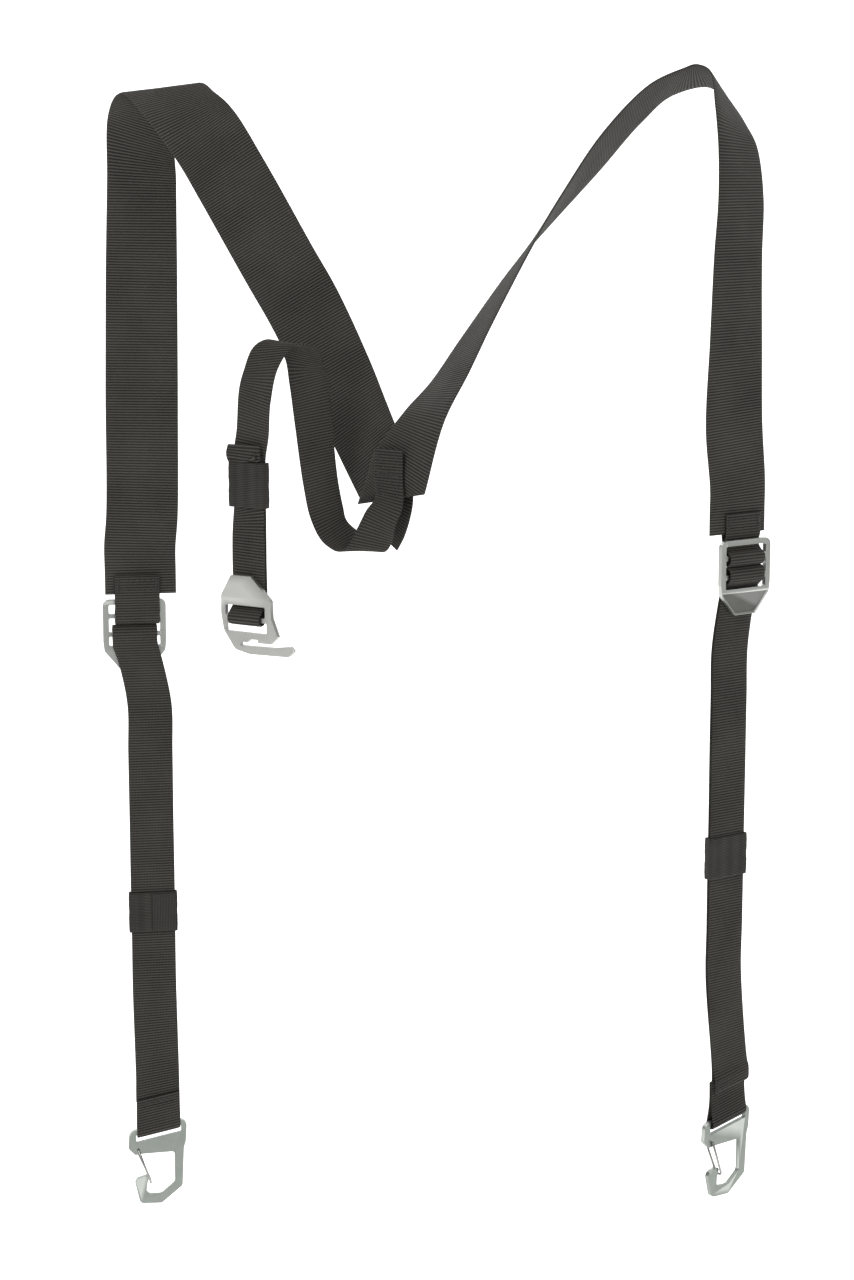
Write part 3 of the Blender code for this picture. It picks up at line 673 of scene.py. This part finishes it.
def loop_threads(side, slant):
    """Two rows across a front strap's sewn loop, two across its tail's hem, and a bar tack at the corner."""
    axes, low = side.axes, -side.drop
    foot = side.drift + side.kick
    hem = low + side.tail_end
    lean = slant * 9.0
    inner = MAIN_OUT - PLY - THICK / 2
    hem_face = TAIL_OUT + THICK / 2 + 1.45
    stitches = bmesh.new()
    level = low + 14.0
    for rise in (0.0, 2.2):
        line = [(foot - 9.5, level + rise - lean), (foot + 9.5, level + rise + lean)]
        stitch_row(stitches, axes, line, inner, facing=-1.0)
    for rise in (1.6, 6.4):
        line = [(foot - 10.5, hem + rise - lean), (foot + 10.5, hem + rise + lean)]
        stitch_row(stitches, axes, line, hem_face)
    corner = turned(axes, (foot - 10.6 * side.sign, hem + 4.0 - lean * side.sign, hem_face))
    zigzag(stitches, corner, -3.4, 3.4, -0.7, 0.7, 0.0)
    link_mesh("loop_threads_" + side.name, stitches, thread, "front_" + side.name,
              ["loop_stitching_" + side.name])


def seam_flap(side):
    """The keeper's outer end, lapped over its back face."""
    depth = LAYERS_OUT - LAYERS_DEPTH / 2 - 1.45
    up = tuple(side.axes.to_3x3().col[1])
    rows = [in_frame(side.axes, side.drift + x, side.keeper_up, depth) + up for x in (0.6, -5.0, -12.6)]
    flap = webbing_mesh(rows, KEEPER_HEIGHT - 0.8, pitch=KEEPER_PITCH, relief=0.06, thickness=0.8, wander=0.0)
    flap = link_mesh("keeper_seam_" + side.name, flap, keeper_webbing, "keeper_" + side.name)


def turned(axes, place):
    """The same axes at a local place, with a quarter turn so that across runs up."""
    return axes @ Matrix.Translation(place) @ Matrix.Rotation(math.pi / 2, 4, "Z")


def back_keeper():
    centre = (HOOK_DRIFT, 46.0, LAYERS_OUT)
    ring = sleeve(HOOK, centre, BACK + 0.8, LAYERS_DEPTH, KEEPER_HEIGHT)
    keeper = link_mesh("keeper_sleeve_back", ring, keeper_webbing, "keeper_back", ["keeper_back"])


def join_threads():
    """A crossed box and a bar tack on the patch, and bar tacks along the join's lower edge."""
    top = YOKE_BACK_UP + THICK / 2
    left, right, bottom, crown = -2.0, 12.0, -5.5, 15.5
    box = (
        ((left, bottom), (left, crown)), ((right, bottom), (right, crown)),
        ((left, bottom), (right, bottom)), ((left, crown), (right, crown)),
        ((left, bottom), (right, crown)), ((right, bottom), (left, crown)),
    )
    stitches = bmesh.new()
    for line in box:
        stitch_row(stitches, YOKE, line, top)
    zigzag(stitches, YOKE, left, right, 3.5, 6.5, top)
    link_mesh("patch_threads", stitches, thread, "straps", ["patch_stitching"])
    row = bmesh.new()
    low = YOKE_RIGHT_UP + THICK / 2 + 0.1
    hem_line = YOKE @ Matrix.Translation((0, YOKE_HEM, 0)) @ Matrix.Rotation(math.atan(HEM_SLOPE), 4, "Z")
    for start, end in ((-18.0, -8.0), (15.0, 21.5)):
        zigzag(row, hem_line, start, end, 0.8, 3.4, low)
    link_mesh("join_threads", row, thread, "straps", ["join_bartack"])


# ---------------------------------------------------------------- the hardware


def bevelled_copy(node, name, material, body, width, shape=None):
    """The CAD solid again with rounded edges, and reshaped first if asked."""
    builder = bmesh.new()
    builder.from_mesh(frame["nodes"][node].data)
    bmesh.ops.remove_doubles(builder, verts=builder.verts, dist=1e-6)
    bmesh.ops.dissolve_limit(builder, angle_limit=math.radians(1.0), verts=builder.verts, edges=builder.edges)
    bmesh.ops.scale(builder, verts=builder.verts, vec=(1 / MM, 1 / MM, 1 / MM))
    if shape:
        shape(builder)
    sharp = [edge for edge in builder.edges
             if len(edge.link_faces) == 2 and edge.calc_face_angle(0.0) > math.radians(60)]
    bmesh.ops.bevel(builder, geom=sharp, offset=width, segments=4, profile=0.5, affect="EDGES",
                    clamp_overlap=True)
    for face in builder.faces:
        face.smooth = True
    piece = link_mesh(name, builder, material, body, [node])
    piece.data.set_sharp_from_angle(angle=math.radians(26))
    weighted = piece.modifiers.new("weighted", "WEIGHTED_NORMAL")
    weighted.keep_sharp = True
    return piece


def bent_plate(axes, crease, tilt, rim):
    """Tilt a plate above a crease line, and press a panel into it below the line."""
    back = axes.inverted()
    normal = axes.to_3x3().col[2]
    line = axes @ Vector((0.0, crease, 0.0))

    def shape(builder):
        geometry = builder.verts[:] + builder.edges[:] + builder.faces[:]
        bmesh.ops.bisect_plane(builder, geom=geometry, plane_co=line, plane_no=axes.to_3x3().col[1])
        if rim:
            panel = [f for f in builder.faces if f.normal.dot(normal) > 0.99
                     and all((back @ v.co).y < crease + 0.01 for v in f.verts)]
            bmesh.ops.inset_region(builder, faces=panel, thickness=rim, use_even_offset=False)
            bmesh.ops.inset_region(builder, faces=panel, thickness=0.3, use_even_offset=False)
            for vert in {v for f in panel for v in f.verts}:
                vert.co -= normal * (0.35 + 0.03 * (crease - (back @ vert.co).y))
            for face in panel:
                face.material_index = 1
        for vert in builder.verts:
            vert.co += normal * tilt * max(0.0, (back @ vert.co).y - crease)

    return shape


# A gate's wire in its own frame: from one end down its leg, round the nose and up the other leg.
GATE_PATH = (
    (-12.1, -12.6, GATE_LANE), (-5.6, -31.5, GATE_LANE), (-5.2, -32.8, GATE_LANE * 0.8), (-5.1, -33.4, 0.9),
    (-5.1, -33.4, -0.9), (-5.2, -32.8, -GATE_LANE * 0.8), (-5.6, -31.5, -GATE_LANE), (-14.2, -10.6, -GATE_LANE),
)


def wire_gate(side, axes):
    curve = bpy.data.curves.new("gate_" + side, "CURVE")
    curve.dimensions = "3D"
    curve.bevel_depth = GATE_WIRE * MM
    curve.bevel_resolution = 5
    curve.use_fill_caps = True
    spline = curve.splines.new("POLY")
    spline.points.add(len(GATE_PATH) - 1)
    for target, point in zip(spline.points, GATE_PATH):
        target.co = (*(axes @ Vector(point) * MM), 1.0)
    guide = bpy.data.objects.new("gate_guide", curve)
    bpy.context.scene.collection.objects.link(guide)
    mesh = bpy.data.meshes.new_from_object(guide.evaluated_get(bpy.context.evaluated_depsgraph_get()))
    bpy.data.objects.remove(guide, do_unlink=True)
    builder = bmesh.new()
    builder.from_mesh(mesh)
    bmesh.ops.remove_doubles(builder, verts=builder.verts, dist=1e-7)
    bmesh.ops.scale(builder, verts=builder.verts, vec=(1 / MM, 1 / MM, 1 / MM))
    for face in builder.faces:
        face.smooth = len(face.verts) == 4
    link_mesh("gate_wire_" + side, builder, wire_metal, "gate_" + side, ["wire_gate_" + side])


def hardware():
    """Both locks, carabiners and gates, and the hook."""
    for side in SIDES:
        name, axes = side.name, side.axes
        plate = bevelled_copy("ladder_lock_" + name, "lock_plate_" + name, satin, "lock_" + name, 0.5,
                              shape=bent_plate(axes, crease=-28.0, tilt=0.0, rim=1.0))
        plate.data.materials.append(blasted)
        bevelled_copy("carabiner_" + name, "carabiner_body_" + name, carabiner_metal, "carabiner_" + name, 0.7)
        bar = Vector(in_frame(axes, side.drift + side.kick, -side.drop, MAIN_OUT - PLY / 2))
        wire_gate(name, frame_at(bar, axes.to_3x3().col[0] * side.sign, UP))
    bevelled_copy("g_hook", "hook_plate", hook_metal, "hook", 0.45,
                  shape=bent_plate(HOOK, crease=-12.0, tilt=-0.06, rim=0.0))


# ---------------------------------------------------------------- studio


# Each lamp: its name, place, aim and size in metres, and its power in watts.
LAMPS = (
    ("key", (-1.3, -1.7, 1.3), (0, 0, -0.25), (1.2, 0.9), 26.0),
    ("fill", (1.7, -1.4, 0.2), (0, 0, -0.3), (1.4, 1.4), 9.0),
    ("top", (0.0, -0.1, 1.8), (0, 0, -0.2), (1.6, 1.0), 12.0),
    ("backdrop_left", (-1.8, 1.2, 1.6), (-0.4, 2.6, -0.2), (1.5, 1.5), 20.0),
    ("backdrop_right", (1.8, 1.2, 1.6), (0.4, 2.6, -0.2), (1.5, 1.5), 20.0),
)


def point_camera():
    camera = bpy.data.cameras.new("camera")
    camera.sensor_width = 36.0
    camera.lens = 77.2
    holder = bpy.data.objects.new("camera", camera)
    holder.location = (-0.0058, -1.4765, -0.0408)
    holder.rotation_euler = (math.radians(80.0), 0.0, 0.0)
    bpy.context.scene.collection.objects.link(holder)
    bpy.context.scene.camera = holder


def sweep():
    """A white floor that curves up into a back wall."""
    floor = bpy.data.meshes.new("floor")
    builder = bmesh.new()
    half, drop, back_wall, corner, top = 4.0, -0.78, 3.0, 1.2, 5.0
    line = [(-half, drop), (back_wall - corner, drop)]
    line += [(back_wall - corner + corner * math.sin(a), drop + corner - corner * math.cos(a))
             for a in np.linspace(0.1, math.pi / 2, 14)]
    line.append((back_wall, top))
    columns = [[builder.verts.new((x, y, z)) for y, z in line] for x in (-half, half)]
    for i in range(len(line) - 1):
        face = builder.faces.new((columns[0][i], columns[1][i], columns[1][i + 1], columns[0][i + 1]))
        face.smooth = True
    builder.to_mesh(floor)
    builder.free()
    surface = bpy.data.objects.new("floor", floor)
    nodes = Nodes("white_sweep")
    nodes.shader.inputs["Base Color"].default_value = (0.6, 0.6, 0.6, 1)
    nodes.shader.inputs["Roughness"].default_value = 0.9
    nodes.shader.inputs["Emission Color"].default_value = (1, 1, 1, 1)
    nodes.shader.inputs["Emission Strength"].default_value = 0.95
    floor.materials.append(nodes.material)
    bpy.context.scene.collection.objects.link(surface)


def lamp(name, place, aim, size, power):
    light = bpy.data.lights.new(name, "AREA")
    light.shape = "RECTANGLE"
    light.size, light.size_y = size
    light.energy = power
    source = bpy.data.objects.new(name, light)
    source.location = place
    source.rotation_euler = (Vector(aim) - Vector(place)).to_track_quat("-Z", "Y").to_euler()
    bpy.context.scene.collection.objects.link(source)


def studio():
    point_camera()
    sweep()
    for settings in LAMPS:
        lamp(*settings)
    world = bpy.data.worlds.new("studio")
    bpy.context.scene.world = world
    world.use_nodes = True
    world.node_tree.nodes["Background"].inputs["Color"].default_value = (1, 1, 1, 1)
    world.node_tree.nodes["Background"].inputs["Strength"].default_value = 0.3
    bpy.context.scene.view_settings.view_transform = "Standard"


studio()
shoulder_straps()
back_strap()
for side in SIDES:
    front(side)
back_keeper()
join_threads()
hardware()
